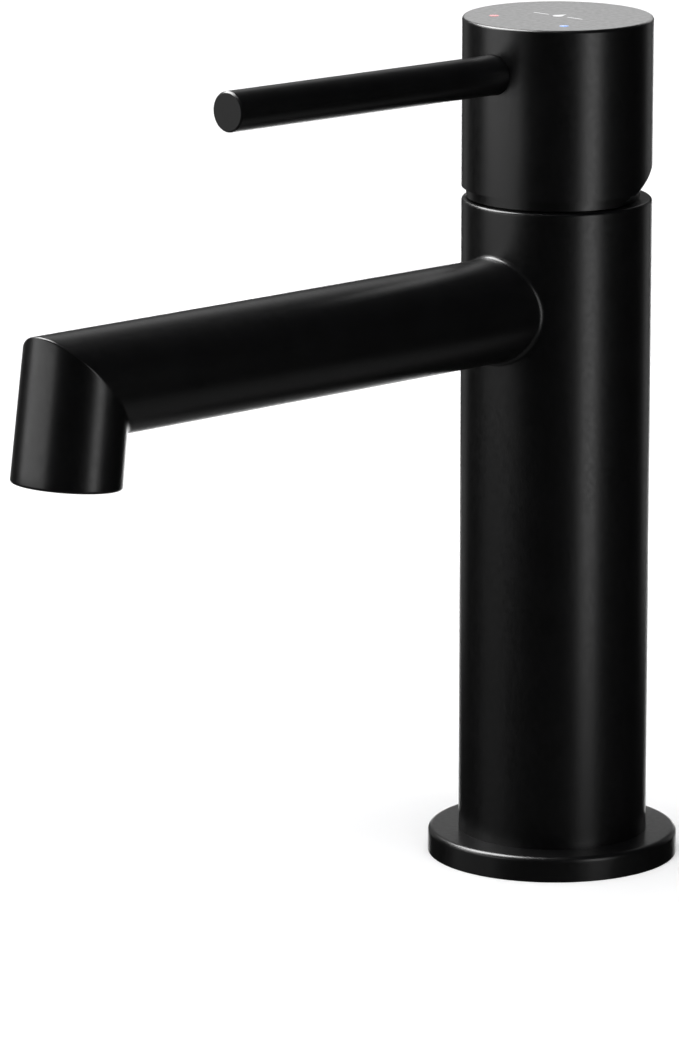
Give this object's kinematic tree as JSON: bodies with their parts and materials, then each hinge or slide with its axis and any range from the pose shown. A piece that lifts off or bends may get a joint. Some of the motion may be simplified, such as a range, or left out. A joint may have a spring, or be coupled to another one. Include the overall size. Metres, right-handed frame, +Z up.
{
  "type": "bathroom mixer faucet",
  "caption": "Single-lever basin mixer: round body on a flanged foot, straight mitred spout, and a round head with a pin lever that tilts and swivels over a ceramic cartridge.",
  "frame": {"origin": "on the body's axis, in the plane of the foot's underside", "axes": "+Z up along the body; the spout and the lever point to -Y; the hot side is -X"},
  "size_m": [0.053, 0.1808, 0.18],
  "materials": {
    "matte_black": "satin",
    "bonnet_black": "satin",
    "rubber": "matte",
    "brass": "satin",
    "copper": "satin",
    "steel": "satin",
    "ceramic": "gloss",
    "cartridge_plastic": "satin",
    "driver_plastic": "satin",
    "turret_plastic": "satin",
    "aerator_plastic": "satin",
    "straightener_plastic": "satin",
    "hot_enamel": "gloss",
    "cold_enamel": "gloss"
  },
  "bodies": {
    "root": {"body_tube": "matte_black", "base_flange": "matte_black", "base_gasket": "rubber", "inlet_block": "brass", "hot_pipe": "copper", "cold_pipe": "copper", "pipe_seals": "rubber", "valve_body": "brass", "spout_arm": "matte_black", "spout_nozzle": "matte_black", "aerator_housing": "aerator_plastic", "flow_straightener": "straightener_plastic", "aerator_screen": "steel", "aerator_gasket": "rubber", "cartridge_shell": "cartridge_plastic", "cartridge_floor": "cartridge_plastic", "port_seals": "rubber", "fixed_disc": "ceramic", "cartridge_nut": "brass", "bonnet": "bonnet_black", "bonnet_ring": "rubber"},
    "turret": {"turret": "turret_plastic", "pivot_pin": "steel"},
    "handle": {"handle_head": "matte_black", "lever_rod": "matte_black", "lever_stem": "steel", "handle_set_screw": "steel", "hot_mark": "hot_enamel", "cold_mark": "cold_enamel"},
    "disc": {"moving_disc": "ceramic", "disc_driver": "driver_plastic"}
  },
  "joints": [
    {"name": "temperature_swivel", "type": "hinge", "parent": "root", "child": "turret", "pos_m": [0, 0, 0.1467], "axis": [0, 0, 1], "range_deg": [-50, 50]},
    {"name": "flow_lift", "type": "hinge", "parent": "turret", "child": "handle", "pos_m": [0, 0, 0.1467], "axis": [-1, 0, 0], "range_deg": [0, 25]},
    {"name": "disc_travel", "type": "slide", "parent": "turret", "child": "disc", "axis": [0, -1, 0], "range_m": [0, 0.00312]}
  ],
  "couplings": [
    {"joint": "disc_travel", "follows": "flow_lift", "m_per_rad": 0.007143}
  ]
}
